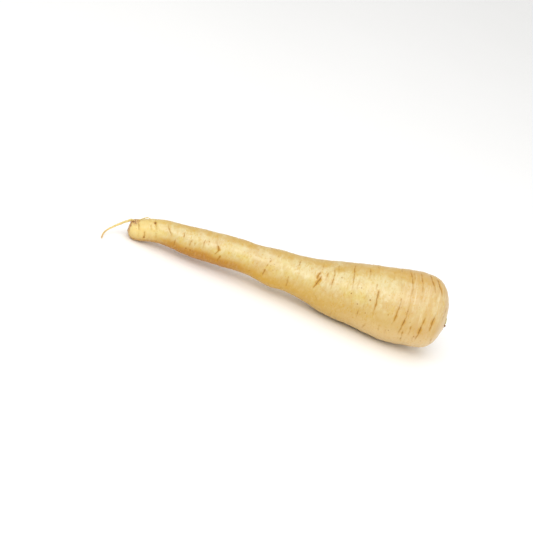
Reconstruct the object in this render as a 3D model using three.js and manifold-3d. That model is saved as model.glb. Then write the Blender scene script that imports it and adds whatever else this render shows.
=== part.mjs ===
// A parsnip lying on its side: the taproot, the corky crown in its pit and one cut leaf stalk.
// Millimetres, +Z up. +X runs from the tail to the crown and the root lies on Z = 0.
// Angles round the root start at the -Y side and turn up over the top, so 90 is the top and -90 the floor.
import * as THREE from "three";
import { mergeVertices } from "three/addons/utils/BufferGeometryUtils.js";
import Module from "manifold-3d";

const wasm = await Module();
wasm.setup();

// Driving dimensions of the taproot: distance from the tail end, radius, height of the centre line
const OUTLINE = [
  [0.4, 4.7, 9.4],
  [1.2, 5.5, 9.0],
  [2.5, 6.6, 8.5],
  [4.4, 7.6, 8.0],
  [7.4, 8.2, 8.35],
  [11, 8.4, 9.7],
  [15, 8.5, 11.1],
  [19, 8.7, 12.4],
  [24, 9.05, 13.7],
  [30, 9.5, 14.55],
  [36, 10.05, 15.05],
  [48, 11.0, 15.8],
  [60, 11.65, 16.9],
  [72, 11.9, 18.1],
  [84, 11.95, 19.4],
  [96, 12.1, 20.0],
  [106, 13.5, 20.1],
  [114, 14.5, 20.3],
  [122, 14.4, 21.2],
  [132, 15.3, 22.0],
  [144, 17.3, 22.6],
  [156, 20.1, 22.85],
  [168, 22.3, 23.9],
  [180, 24.45, 25.8],
  [192, 26.5, 27.1],
  [204, 28.15, 28.4],
  [212, 28.65, 30.0],
  [220, 28.75, 31.6],
];
const TAIL_END = OUTLINE[0][0];
const TAIL_ROWS = 4;
const SHOULDER_START = OUTLINE.at(-1)[0];

// The shoulder, the rim of the pit and its wall: distance past SHOULDER_START on the crown's axis, radius
const SHOULDER = [
  [3, 28.7],
  [6, 28.5],
  [9, 28.1],
  [11.5, 27.6],
  [15.5, 26.0],
  [18.1, 24.0],
  [20.4, 21.3],
  [22.3, 17.8],
  [23.7, 14.6],
  [24.5, 12.3],
  [24.9, 11.3],
  [24.6, 10.7],
  [23.3, 10.3],
  [20.3, 9.6],
];
const RIM = [11.3, 24.9];
const PIT_FLOOR = 20.0;

// The cut face at the tail end: depth into the root, radius
const TAIL_FACE = [
  [0.1, 1.8],
  [0.45, 3.8],
];
const TAIL_FACE_CENTRE = 0.2;

// Sections stand square to the centre line, apart from the tail end and the crown, which lean on their own
const TAIL_LEAN = THREE.MathUtils.degToRad(-4.6);
const TAIL_LENGTH = 17;
const CROWN_SLOPE = THREE.MathUtils.degToRad(7.8);
const CROWN_BLEND = 20;

// The flats that the root rests on lie this far above its lowest points
const FLAT_DEPTH = 0.5;
const BELOW = [600, 200, 20];

// Creases across the skin: distance from the tail end, first and last angle, depth
const CREASE_HALF_WIDTH = 0.8;
const CREASES = [
  [8.5, 0, 70, 0.3],
  [8.5, 150, 240, 0.3],
  [13.2, -28, 18, 0.4],
  [13.2, 95, 150, 0.35],
  [20.9, -10, 95, 0.5],
  [20.9, 110, 215, 0.45],
  [30.5, 18, 66, 0.35],
  [36.2, -22, 12, 0.4],
  [36.2, 130, 190, 0.4],
  [41.6, 8, 50, 0.35],
  [47.7, 0, 32, 0.4],
  [47.7, 160, 245, 0.4],
  [57.4, 8, 46, 0.45],
  [57.4, 100, 150, 0.4],
  [68.2, 6, 36, 0.5],
  [71, -22, 4, 0.45],
  [71, 120, 205, 0.45],
  [80.3, -42, -20, 0.4],
  [80.3, 95, 135, 0.4],
  [92, 140, 230, 0.5],
  [105.5, -14, 14, 0.5],
  [105.5, 85, 130, 0.45],
  [118, 150, 205, 0.5],
  [130, 115, 180, 0.45],
  [144.8, 6, 48, 0.8],
  [144.8, 190, 245, 0.5],
  [156, 14, 78, 0.5],
  [156, 120, 165, 0.5],
  [171.2, 24, 84, 0.5],
  [171.2, 150, 230, 0.55],
  [182.3, 58, 84, 0.4],
  [182.3, 100, 150, 0.5],
  [190.9, 0, 62, 0.6],
  [190.9, 180, 250, 0.5],
  [207, -16, 84, 0.5],
  [207, 125, 200, 0.55],
  [214.3, -24, 100, 0.6],
  [214.3, 190, 240, 0.5],
];
// The same on the shoulder: row of SHOULDER, first and last angle, depth
const SHOULDER_CREASES = [
  [0, -15, 30, 0.35],
  [0, 140, 225, 0.4],
  [2, -26, 28, 0.5],
  [2, 60, 98, 0.5],
  [2, 120, 160, 0.4],
  [3, 170, 235, 0.45],
  [4, -2, 30, 0.45],
  [4, 58, 92, 0.5],
  [5, 130, 190, 0.4],
];

const POINTS_ROUND = 40;
const LONGEST_STEP = 7;

// The thin rootlet that hangs from the tail end
const WHISKER_POINTS = [
  [5.2, -0.6, 12.6],
  [2.9, -1.0, 14.1],
  [0.6, -1.2, 14.3],
  [-2.4, -2.0, 12.3],
  [-6.3, -4.2, 9.4],
  [-10.5, -8.2, 6.6],
  [-13.6, -12.6, 4.4],
  [-14.9, -17.0, 2.5],
  [-14.6, -21.0, 1.2],
];
const WHISKER_RADII = [1.0, 0.5];
const WHISKER_SIDES = 7;
const WHISKER_STEPS = 16;

// The crown, in its own frame: x to the -Y side, y out along the crown's axis, z up
const CROWN_GAP = 0.35;
const CROWN_PROFILE = [
  [9.0, 0.2],
  [9.15, 2.1],
  [8.7, 2.6],
  [8.1, 2.1],
  [7.4, 2.8],
  [6.7, 2.4],
  [6.0, 3.2],
  [5.3, 2.8],
  [4.6, 3.7],
  [3.8, 3.3],
  [2.9, 4.1],
  [1.4, 4.2],
];
const CROWN_TOP = 4.0;
const CROWN_SIDES = 28;

// Trimmed leaf bases on the crown: radius, first angle, arc, height of the top over the pit's floor
const LEAF_BASES = [
  [8.4, 20, 95, 3.9],
  [8.3, 150, 80, 3.7],
  [8.4, 255, 60, 3.8],
  [6.7, 80, 105, 4.6],
  [6.6, 215, 70, 4.5],
  [5.0, 15, 85, 5.1],
  [4.9, 140, 95, 5.3],
  [3.2, 60, 130, 5.6],
  [1.7, 180, 150, 5.9],
];
const LEAF_BASE_THICK = 0.8;
const LEAF_BASE_FOOT = 1;

// Dry fibres on the crown: angle, sweep, how far each reaches past the rim, height over the rim
const FIBRES = [
  [-34, 6, -1.2, 0.4],
  [-52, 9, -0.9, 0.4],
  [-76, -8, -0.7, 0.4],
  [-100, 5, -0.9, 0.5],
  [30, 8, -1.4, 0.0],
  [100, -6, -0.8, 0.4],
  [128, 5, 0.2, 0.9],
  [150, 9, 1.2, 1.3],
  [168, -6, 0.6, 1.0],
  [200, 8, 1.6, 1.2],
  [222, -9, 0.3, 1.0],
];
const FIBRE_RADII = [0.5, 0.32];
const FIBRE_SIDES = 5;
const FIBRE_STEPS = 5;

// A torn scrap of a leaf base beside the stalk: angle, and radius and height over the rim at its tip
const SCRAP = [-17, 9.8, 1.1];
const SCRAP_RADII = [0.5, 0.8];
const SCRAP_SIDES = 7;

// The cut leaf stalk: a channelled stub that stands beside the middle of the crown
const STALK_ANGLE = THREE.MathUtils.degToRad(-8);
const STALK_OFFSET = 5.4;
const STALK_RADIUS = 2.7;
const STALK_WALL = 1.0;
const STALK_BASE = 4.1;
const STALK_TOP = 6.1;
const STALK_FLARE = 0.12;
const STALK_CUT = 0.3;
const STALK_OPEN = THREE.MathUtils.degToRad(62);
const STALK_SEAT = 3.2;
const SEAT_HEIGHT = 20;
const SEAT_SIDES = 20;

// A column of a table as a smooth function of its first column: cubic pieces with averaged slopes
function follow(table, column, x) {
  const last = table.length - 1;
  let i = 0;
  while (i < last - 1 && x > table[i + 1][0]) i++;
  const step = (k) => table[k + 1][0] - table[k][0];
  const rise = (k) => (table[k + 1][column] - table[k][column]) / step(k);
  const tangent = (k) => {
    if (k === 0) return rise(0);
    if (k === last) return rise(last - 1);
    return (rise(k - 1) * step(k) + rise(k) * step(k - 1)) / (step(k - 1) + step(k));
  };
  const t = (x - table[i][0]) / step(i);
  return (
    (2 * t ** 3 - 3 * t ** 2 + 1) * table[i][column] +
    (t ** 3 - 2 * t ** 2 + t) * step(i) * tangent(i) +
    (3 * t ** 2 - 2 * t ** 3) * table[i + 1][column] +
    (t ** 3 - t ** 2) * step(i) * tangent(i + 1)
  );
}

// Slope of the centre line, and of the sections across it
function lineSlope(x) {
  const near = 0.5;
  return Math.atan((follow(OUTLINE, 2, x + near) - follow(OUTLINE, 2, x - near)) / (2 * near));
}

function sectionSlope(x) {
  if (x < TAIL_LENGTH) {
    return THREE.MathUtils.mapLinear(x, TAIL_END, TAIL_LENGTH, TAIL_LEAN, lineSlope(TAIL_LENGTH));
  }
  const blendStart = SHOULDER_START - CROWN_BLEND;
  if (x < blendStart) return lineSlope(x);
  return THREE.MathUtils.mapLinear(x, blendStart, SHOULDER_START, lineSlope(blendStart), CROWN_SLOPE);
}

// Slow swelling of the root's section, as a share of its radius
function swelling(x, angle) {
  return (
    0.01 * Math.sin(2 * angle + 0.9 + x / 40) +
    0.007 * Math.sin(3 * angle - 0.6 - x / 27) +
    0.005 * Math.sin(x / 9 + 2 * Math.sin(angle))
  );
}

// Depth at an angle of the arcs whose first entry is the wanted place
function creaseDepth(creases, place, degrees) {
  let depth = 0;
  for (const [at, first, last, deepest] of creases) {
    if (at !== place) continue;
    const turned = THREE.MathUtils.euclideanModulo(degrees - first, 360);
    const share = turned / (last - first);
    if (share < 1) depth = Math.max(depth, deepest * Math.sqrt(Math.sin(Math.PI * share)));
  }
  return depth;
}

// One ring of points square to a slope in the XZ plane
function ring(centre, slope, radiusAt) {
  const side = new THREE.Vector3(0, -1, 0);
  const up = new THREE.Vector3(-Math.sin(slope), 0, Math.cos(slope));
  const points = [];
  for (let i = 0; i < POINTS_ROUND; i++) {
    const angle = (2 * Math.PI * i) / POINTS_ROUND;
    const radius = radiusAt(angle);
    points.push(
      centre
        .clone()
        .addScaledVector(side, radius * Math.cos(angle))
        .addScaledVector(up, radius * Math.sin(angle)),
    );
  }
  return points;
}

// A closed surface through rings of points, with a point at each end
function loft(rings, start, end) {
  const round = rings[0].length;
  const positions = [start, ...rings.flat(), end].flatMap((p) => p.toArray());
  const at = (i, j) => 1 + i * round + (j % round);
  const index = [];
  for (let j = 0; j < round; j++) {
    index.push(0, at(0, j), at(0, j + 1));
    for (let i = 0; i < rings.length - 1; i++) {
      index.push(at(i, j), at(i + 1, j), at(i, j + 1));
      index.push(at(i + 1, j), at(i + 1, j + 1), at(i, j + 1));
    }
    index.push(1 + rings.length * round, at(rings.length - 1, j + 1), at(rings.length - 1, j));
  }
  const geometry = new THREE.BufferGeometry();
  geometry.setAttribute("position", new THREE.Float32BufferAttribute(positions, 3));
  geometry.setIndex(index);
  return geometry;
}

// A tapered tube along a smooth path through points
function taperedTube(points, radii, sides, steps) {
  const curve = new THREE.CatmullRomCurve3(points, false, "centripetal");
  const frames = curve.computeFrenetFrames(steps);
  const rings = [];
  for (let i = 0; i <= steps; i++) {
    const centre = curve.getPointAt(i / steps);
    const radius = THREE.MathUtils.lerp(radii[0], radii[1], i / steps);
    const points = [];
    for (let j = 0; j < sides; j++) {
      const angle = (-2 * Math.PI * j) / sides;
      points.push(
        centre
          .clone()
          .addScaledVector(frames.normals[i], radius * Math.cos(angle))
          .addScaledVector(frames.binormals[i], radius * Math.sin(angle)),
      );
    }
    rings.push(points);
  }
  return loft(rings, curve.getPointAt(0), curve.getPointAt(1));
}

// Solids for joining and cutting, and back
function solid(geometry) {
  const bare = geometry.clone();
  bare.deleteAttribute("normal");
  bare.deleteAttribute("uv");
  const merged = mergeVertices(bare, 1e-4);
  return new wasm.Manifold(
    new wasm.Mesh({
      numProp: 3,
      vertProperties: new Float32Array(merged.attributes.position.array),
      triVerts: new Uint32Array(merged.index.array),
    }),
  );
}

function geometryOf(manifold) {
  const { vertProperties, triVerts } = manifold.getMesh();
  const geometry = new THREE.BufferGeometry();
  geometry.setAttribute("position", new THREE.BufferAttribute(vertProperties, 3));
  geometry.setIndex(new THREE.BufferAttribute(triVerts, 1));
  geometry.computeVertexNormals();
  return geometry;
}

function joined(geometries) {
  return geometries.map(solid).reduce((whole, piece) => whole.add(piece));
}

// Places of the rings along the body: both edges and the bottom of each crease, filled in between
function bodyPlaces() {
  const places = new Set([...OUTLINE.slice(0, TAIL_ROWS).map((row) => row[0]), SHOULDER_START]);
  for (const [at] of CREASES) {
    for (const offset of [-CREASE_HALF_WIDTH, 0, CREASE_HALF_WIDTH]) places.add(at + offset);
  }
  const sorted = [...places].sort((a, b) => a - b);
  const filled = [sorted[0]];
  for (const place of sorted.slice(1)) {
    const from = filled.at(-1);
    const parts = Math.ceil((place - from) / LONGEST_STEP);
    for (let k = 1; k <= parts; k++) filled.push(k < parts ? from + ((place - from) * k) / parts : place);
  }
  return filled;
}

function buildRoot() {
  const rings = [];
  const tailCentre = new THREE.Vector3(TAIL_END, 0, follow(OUTLINE, 2, TAIL_END));
  const inwards = new THREE.Vector3(Math.cos(TAIL_LEAN), 0, Math.sin(TAIL_LEAN));
  for (const [depth, radius] of TAIL_FACE) {
    rings.push(ring(tailCentre.clone().addScaledVector(inwards, depth), TAIL_LEAN, () => radius));
  }
  for (const x of bodyPlaces()) {
    const centre = new THREE.Vector3(x, 0, follow(OUTLINE, 2, x));
    const radius = follow(OUTLINE, 1, x);
    rings.push(
      ring(centre, sectionSlope(x), (angle) => {
        const depth = creaseDepth(CREASES, x, THREE.MathUtils.radToDeg(angle));
        return radius * (1 + swelling(x, angle)) - depth;
      }),
    );
  }
  const crownAxis = new THREE.Vector3(Math.cos(CROWN_SLOPE), 0, Math.sin(CROWN_SLOPE));
  SHOULDER.forEach(([distance, radius], row) => {
    const centre = crownStart.clone().addScaledVector(crownAxis, distance);
    rings.push(
      ring(centre, CROWN_SLOPE, (angle) => {
        const depth = creaseDepth(SHOULDER_CREASES, row, THREE.MathUtils.radToDeg(angle));
        const evenness = THREE.MathUtils.smoothstep(radius, SHOULDER.at(-1)[1], SHOULDER[0][1]);
        return radius * (1 + evenness * swelling(SHOULDER_START + distance, angle)) - depth;
      }),
    );
  });
  const faceCentre = tailCentre.clone().addScaledVector(inwards, TAIL_FACE_CENTRE);
  const pitCentre = crownStart.clone().addScaledVector(crownAxis, PIT_FLOOR);
  const body = solid(loft(rings, faceCentre, pitCentre));
  const whisker = taperedTube(
    WHISKER_POINTS.map((point) => new THREE.Vector3(...point)),
    WHISKER_RADII,
    WHISKER_SIDES,
    WHISKER_STEPS,
  );
  const [length, width, depth] = BELOW;
  const below = new THREE.BoxGeometry(length, width, depth).translate(0, 0, FLAT_DEPTH - depth / 2);
  return geometryOf(body.add(solid(whisker)).subtract(solid(below)));
}

// A point of the crown's frame from its radius, its angle and its distance out along the axis
function onCrown(radius, angle, out) {
  return new THREE.Vector3(radius * Math.cos(angle), out, radius * Math.sin(angle));
}

// The part of a ring between two angles, with its foot sunk in the crown's disc
function leafBase([radius, firstDegrees, arcDegrees, height]) {
  const first = THREE.MathUtils.degToRad(firstDegrees);
  const last = first + THREE.MathUtils.degToRad(arcDegrees);
  const outline = new THREE.Shape();
  outline.absarc(0, 0, radius + LEAF_BASE_THICK / 2, first, last, false);
  outline.absarc(0, 0, radius - LEAF_BASE_THICK / 2, last, first, true);
  const wall = new THREE.ExtrudeGeometry(outline, {
    depth: height - LEAF_BASE_FOOT,
    curveSegments: 8,
    bevelEnabled: false,
  });
  return wall.rotateX(Math.PI / 2).translate(0, PIT_FLOOR + height, 0);
}

function fibre([degrees, sweepDegrees, reach, rise]) {
  const angle = THREE.MathUtils.degToRad(degrees);
  const sweep = THREE.MathUtils.degToRad(sweepDegrees);
  const [rimRadius, rimOut] = RIM;
  const points = [
    onCrown(7.6, angle, PIT_FLOOR + 1.4),
    onCrown(8.6, angle, PIT_FLOOR + 3.6),
    onCrown(rimRadius - 1.6, angle + sweep / 2, rimOut + rise * 0.8),
    onCrown(rimRadius + reach, angle + sweep, rimOut + rise),
  ];
  return taperedTube(points, FIBRE_RADII, FIBRE_SIDES, FIBRE_STEPS);
}

function scrap([degrees, radius, rise]) {
  const angle = THREE.MathUtils.degToRad(degrees);
  const points = [
    onCrown(radius - 2.6, angle, PIT_FLOOR + 2.0),
    onCrown(radius - 1.0, angle, PIT_FLOOR + 4.0),
    onCrown(radius, angle, RIM[1] + rise),
  ];
  return taperedTube(points, SCRAP_RADII, SCRAP_SIDES, FIBRE_STEPS);
}

function buildCrown() {
  const profile = [
    [0, PIT_FLOOR + CROWN_GAP],
    ...CROWN_PROFILE.map(([radius, height]) => [radius, PIT_FLOOR + CROWN_GAP + height]),
    [0, PIT_FLOOR + CROWN_GAP + CROWN_TOP],
  ];
  const disc = new THREE.LatheGeometry(
    profile.map(([radius, out]) => new THREE.Vector2(radius, out)),
    CROWN_SIDES,
  );
  const whole = joined([disc, ...LEAF_BASES.map(leafBase), ...FIBRES.map(fibre), scrap(SCRAP)]);
  const clearance = new THREE.CylinderGeometry(STALK_SEAT, STALK_SEAT, SEAT_HEIGHT, SEAT_SIDES);
  const seatMiddle = PIT_FLOOR + STALK_BASE - CROWN_GAP + SEAT_HEIGHT / 2;
  clearance.translate(...onCrown(STALK_OFFSET, STALK_ANGLE, seatMiddle).toArray());
  return geometryOf(whole.subtract(solid(clearance)));
}

// A channel in section, open towards the middle of the crown, flared at its foot and cut aslant at its top
function buildStalk() {
  const lip = Math.PI - STALK_OPEN;
  const outline = new THREE.Shape();
  outline.absarc(0, 0, STALK_RADIUS, -lip, lip, false);
  outline.absarc(0, 0, STALK_RADIUS - STALK_WALL, lip, -lip, true);
  const height = STALK_TOP - STALK_BASE;
  const stub = new THREE.ExtrudeGeometry(outline, {
    depth: height,
    steps: 4,
    curveSegments: 16,
    bevelEnabled: false,
  });
  const place = stub.getAttribute("position");
  for (let i = 0; i < place.count; i++) {
    const share = place.getZ(i) / height;
    const width = 1 + STALK_FLARE * (1 - share) ** 2;
    place.setXYZ(
      i,
      place.getX(i) * width,
      place.getY(i) * width,
      place.getZ(i) + share * STALK_CUT * place.getX(i),
    );
  }
  stub.rotateX(-Math.PI / 2);
  return geometryOf(solid(stub));
}

function mesh(name, geometry, color, roughness) {
  const material = new THREE.MeshStandardMaterial({ color, roughness, metalness: 0 });
  const piece = new THREE.Mesh(geometry, material);
  piece.name = name;
  return piece;
}

const crownStart = new THREE.Vector3(SHOULDER_START, 0, follow(OUTLINE, 2, SHOULDER_START));
const root = mesh("root", buildRoot(), 0xe6cf98, 0.5);
const crown = mesh("crown", buildCrown(), 0x5a4430, 0.85);
const leafStalk = mesh("leaf_stalk", buildStalk(), 0xa8b765, 0.55);
leafStalk.position.copy(onCrown(STALK_OFFSET, STALK_ANGLE, PIT_FLOOR + STALK_BASE));
leafStalk.rotation.y = -STALK_ANGLE;

const crownEnd = new THREE.Group();
crownEnd.add(crown, leafStalk);
crownEnd.position.copy(crownStart);
crownEnd.quaternion.setFromRotationMatrix(
  new THREE.Matrix4().makeBasis(
    new THREE.Vector3(0, -1, 0),
    new THREE.Vector3(Math.cos(CROWN_SLOPE), 0, Math.sin(CROWN_SLOPE)),
    new THREE.Vector3(-Math.sin(CROWN_SLOPE), 0, Math.cos(CROWN_SLOPE)),
  ),
);

// The origin is the middle of the bottom of the whole part's box
const lying = new THREE.Group();
lying.add(root, crownEnd);
const box = new THREE.Box3().setFromObject(lying, true);
const middle = box.getCenter(new THREE.Vector3());
lying.position.set(-middle.x, -middle.y, -box.min.z);

const parsnip = new THREE.Group();
parsnip.add(lying);

export default parsnip;
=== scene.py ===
import math

import bmesh
import bpy
import numpy as np
from mathutils import Matrix, Vector


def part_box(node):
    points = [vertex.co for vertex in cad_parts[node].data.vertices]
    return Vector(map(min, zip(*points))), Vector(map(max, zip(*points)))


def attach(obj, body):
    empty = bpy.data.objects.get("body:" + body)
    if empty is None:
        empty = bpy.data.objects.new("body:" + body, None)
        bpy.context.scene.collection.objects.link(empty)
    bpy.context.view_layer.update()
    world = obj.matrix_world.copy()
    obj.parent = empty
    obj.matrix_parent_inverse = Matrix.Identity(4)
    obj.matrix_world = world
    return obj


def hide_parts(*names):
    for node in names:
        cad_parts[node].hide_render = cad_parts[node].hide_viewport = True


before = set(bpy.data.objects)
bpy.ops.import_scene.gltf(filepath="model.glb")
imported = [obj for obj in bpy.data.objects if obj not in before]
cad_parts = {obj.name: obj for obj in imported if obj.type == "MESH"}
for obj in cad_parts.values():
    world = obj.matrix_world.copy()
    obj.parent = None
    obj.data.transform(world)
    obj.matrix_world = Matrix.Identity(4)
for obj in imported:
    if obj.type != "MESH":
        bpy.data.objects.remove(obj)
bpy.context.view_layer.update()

MM = 0.001

# The taproot: distance from the tail end, radius, height of the centre line
OUTLINE = np.array([
    (0.4, 4.7, 9.4), (1.2, 5.5, 9.0), (2.5, 6.6, 8.5), (4.4, 7.6, 8.0), (7.4, 8.2, 8.35),
    (11, 8.4, 9.7), (15, 8.5, 11.1), (19, 8.7, 12.4), (24, 9.05, 13.7), (30, 9.5, 14.55),
    (36, 10.05, 15.05), (48, 11.0, 15.8), (60, 11.65, 16.9), (72, 11.9, 18.1), (84, 11.95, 19.4),
    (96, 12.1, 20.0), (106, 13.5, 20.1), (114, 14.5, 20.3), (122, 14.4, 21.2), (132, 15.3, 22.0),
    (144, 17.3, 22.6), (156, 20.1, 22.85), (168, 22.3, 23.9), (180, 24.45, 25.8), (192, 26.5, 27.1),
    (204, 28.15, 28.4), (212, 28.65, 30.0), (220, 28.75, 31.6),
])
TAIL_END = OUTLINE[0, 0]
SHOULDER_START = OUTLINE[-1, 0]

# The shoulder, the pit's rim and its wall: distance past SHOULDER_START on the crown's axis, radius
SHOULDER = np.array([
    (0, 28.75), (3, 28.7), (6, 28.5), (9, 28.1), (11.5, 27.6), (15.5, 26.0), (18.1, 24.0), (20.4, 21.3),
    (22.3, 17.8), (23.7, 14.6), (24.5, 12.3), (24.9, 11.3), (24.6, 10.7), (23.3, 10.3), (20.3, 9.6),
])
RIM_ROW = 11
RIM_RADIUS, RIM_OUT = SHOULDER[RIM_ROW, 1], SHOULDER[RIM_ROW, 0]
PIT_FLOOR = 20.0
# The cut face at the tail: radius, distance from the tail end
TAIL_FACE = np.array([(0, 0.2), (1.8, 0.1), (3.8, 0.45), (4.7, 0.4)])
TAIL_LEAN = math.radians(-4.6)
TAIL_LENGTH = 17
CROWN_SLOPE = math.radians(7.8)
CROWN_BLEND = 20
FLAT_DEPTH = 0.5

# How finely the skin is meshed: points round, rings along the body, over the shoulder and on the tail face
ROUND = 160
BODY_RINGS = 504
SHOULDER_RINGS = 84
FACE_RINGS = 9

# Creases on the side that shows best: depth, width, then distance, angle and stain along each
CREASES = [
    (0.50, 0.60, [(231.0, 96, 0.2), (231.8, 86, 0.8), (233.5, 74, 0.9), (235.2, 65, 0.8),
                  (236.4, 56, 0.1)]),
    (0.45, 0.60, [(225.4, 100, 0.1), (226.0, 92, 0.7), (228.0, 76, 0.7), (230.2, 63, 0.4),
                  (231.0, 54, 0.1)]),
    (0.30, 0.70, [(218.0, 98, 0.3), (219.2, 80, 0.5), (220.4, 65, 0.4), (221.6, 47, 0.15),
                  (222.2, 30, 0.1)]),
    (0.30, 0.60, [(209.8, 102, 0.3), (211.4, 81, 0.5), (213.0, 63, 0.45), (213.5, 49, 0.2),
                  (213.2, 34, 0.18)]),
    (0.40, 0.60, [(214.0, 40, 0.1), (213.8, 18, 0.25), (213.6, 7, 0.6), (213.3, 0, 0.95), (212.7, -8, 0.4),
                  (211.8, -28, 0.15)]),
    (0.25, 0.60, [(202.0, 92, 0.15), (205.0, 60, 0.2), (207.4, 46, 0.1)]),
    (0.30, 0.60, [(206.9, 40, 0.05), (207.1, 34, 0.55), (207.1, 25, 0.3), (206.8, 13, 0.75), (206.4, 4, 0.5),
                  (205.4, -8, 0.15)]),
    (0.45, 0.60, [(234.9, 32, 0.1), (234.4, 24, 0.4), (233.9, 13, 0.95), (233.4, 4, 0.7), (232.9, -6, 0.1)]),
    (0.45, 0.60, [(227.6, 24, 0.05), (227.2, 15, 0.35), (226.6, 4, 0.6), (226.0, -8, 0.95), (225.8, -16, 0.5),
                  (225.3, -28, 0.1)]),
    (0.15, 0.60, [(242.6, 50, 0.1), (242.0, 38, 0.45), (241.2, 24, 0.4), (240.6, 12, 0.1)]),
    (0.25, 0.60, [(153.2, 84, 0.05), (153.9, 72, 0.4), (155.0, 56, 0.3), (155.2, 42, 0.6), (155.6, 28, 0.35),
                  (155.8, 14, 0.05)]),
    (0.25, 0.60, [(170.3, 88, 0.05), (170.6, 76, 0.45), (171.1, 60, 0.5), (171.3, 50, 0.35), (171.7, 38, 0.3),
                  (171.5, 26, 0.05)]),
    (0.20, 0.90, [(180.8, 88, 0.05), (181.2, 76, 0.4), (181.6, 64, 0.3), (181.8, 54, 0.05)]),
    (0.40, 0.60, [(189.3, 45, 0.1), (189.6, 39, 0.6), (190.0, 29, 0.85), (190.2, 19, 0.6), (190.4, 7, 0.35),
                  (190.8, -3, 0.1)]),
    (0.20, 0.60, [(179.5, 2, 0.05), (179.6, -8, 0.45), (179.9, -22, 0.1)]),
    (0.55, 0.70, [(144.7, 56, 0.1), (144.4, 48, 0.9), (144.0, 38, 0.7), (143.4, 28, 0.1)]),
    (0.60, 0.70, [(146.3, 46, 0.1), (145.8, 38, 0.9), (145.0, 26, 1.0), (144.3, 16, 0.9), (143.7, 8, 0.3),
                  (143.4, 3, 0.05)]),
    (0.15, 0.80, [(145.4, 88, 0.1), (145.6, 72, 0.35), (145.8, 60, 0.05)]),
    (0.15, 0.70, [(144.9, 0, 0.05), (147.0, -10, 0.3), (150.9, -24, 0.1)]),
    (0.40, 0.60, [(105.6, 15, 0.05), (105.5, 6, 0.9), (105.5, -5, 0.8), (105.4, -15, 0.05)]),
    (0.35, 0.50, [(67.5, 40, 0.1), (68.0, 33, 0.9), (68.9, 24, 0.9), (68.5, 14, 0.7), (67.6, 6, 0.4),
                  (67.2, -2, 0.05)]),
    (0.30, 0.50, [(71.4, 8, 0.05), (71.1, -2, 0.8), (70.4, -15, 0.8), (70.0, -28, 0.05)]),
    (0.20, 0.50, [(57.8, 48, 0.05), (57.5, 38, 0.5), (57.2, 27, 0.25), (57.3, 16, 0.45), (57.5, 6, 0.05)]),
    (0.20, 0.50, [(80.9, -18, 0.05), (80.5, -28, 0.5), (79.6, -42, 0.1)]),
    (0.40, 0.50, [(13.6, 22, 0.02), (13.5, 11, 0.36), (13.4, -4, 0.55), (13.2, -18, 0.50),
                  (13.0, -30, 0.02)]),
    (0.20, 0.50, [(17.1, 62, 0.05), (17.3, 48, 0.25), (17.7, 30, 0.20), (17.8, 18, 0.05)]),
    (0.60, 1.20, [(19.6, 120, 0.1), (20.0, 68, 0.5), (20.8, 48, 0.3), (21.4, 20, 0.25), (21.6, -20, 0.2),
                  (21.4, -64, 0.1)]),
    (0.50, 1.20, [(6.4, 100, 0.2), (6.9, 62, 0.45), (8.2, 30, 0.3), (9.2, 0, 0.2), (9.4, -34, 0.1)]),
    (0.35, 0.80, [(28.2, 74, 0.05), (28.8, 56, 0.6), (30.6, 40, 0.5), (32.2, 22, 0.25), (32.6, 8, 0.05)]),
    (0.25, 0.50, [(41.3, 54, 0.05), (41.4, 42, 0.5), (41.5, 28, 0.35), (41.6, 14, 0.05)]),
    (0.30, 0.50, [(36.2, 14, 0.05), (36.2, 3, 0.75), (36.2, -10, 0.7), (36.2, -24, 0.05)]),
    (0.30, 0.50, [(47.8, 38, 0.05), (47.7, 25, 0.55), (47.6, 12, 0.4), (47.5, -2, 0.05)]),
]
# Creases of the same kind on the far side, which the photograph doesn't show: depth, stain, then the
# distance and angle of both ends
FAR_CREASES = [
    (0.30, 0.40, (8.5, 150), (8.7, 240)),
    (0.35, 0.60, (13.2, 95), (13.4, 150)),
    (0.45, 0.45, (20.9, 122), (21.2, 225)),
    (0.40, 0.70, (36.2, 130), (35.8, 192)),
    (0.40, 0.60, (47.7, 160), (48.2, 245)),
    (0.40, 0.65, (57.4, 100), (57.9, 152)),
    (0.45, 0.75, (71.0, 120), (71.5, 206)),
    (0.35, 0.50, (80.3, 95), (80.6, 136)),
    (0.50, 0.85, (92.0, 140), (92.8, 230)),
    (0.40, 0.60, (105.5, 85), (105.0, 131)),
    (0.50, 0.80, (118.0, 150), (117.4, 206)),
    (0.45, 0.55, (130.0, 115), (130.6, 181)),
    (0.50, 0.80, (144.8, 190), (144.2, 246)),
    (0.50, 0.65, (156.0, 120), (156.6, 166)),
    (0.55, 0.85, (171.2, 150), (172.0, 231)),
    (0.50, 0.60, (182.3, 100), (182.0, 151)),
    (0.50, 0.75, (190.9, 180), (191.7, 251)),
    (0.55, 0.80, (207.0, 125), (207.6, 201)),
    (0.50, 0.60, (214.3, 190), (213.8, 241)),
    (0.40, 0.70, (223.0, 140), (223.5, 226)),
    (0.40, 0.60, (229.0, 120), (229.4, 161)),
    (0.45, 0.75, (231.5, 170), (231.9, 236)),
    (0.40, 0.65, (238.1, 130), (238.0, 190)),
]
CREASE_WIDTH = 0.55
CREASE_REACH = 6.0
# The share of a crease over which its groove and its stain fade at each end
GROOVE_FADE = 0.25
STAIN_FADE = 0.08
# The raised lips beside a groove: share of its depth, and width against the groove's
LIP_SHARE = 0.25
LIP_WIDTH = 2.8
# Faint creases: how many, the stretch they lie on, half their arc in degrees, depth, stain
FAINT_CREASES = [
    (250, (12, 238), (3, 20), (0.02, 0.11), (0.08, 0.5)),
    (38, (200, 234), (10, 44), (0.04, 0.08), (0.04, 0.16)),
]
FAINT_SEED = 11

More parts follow.
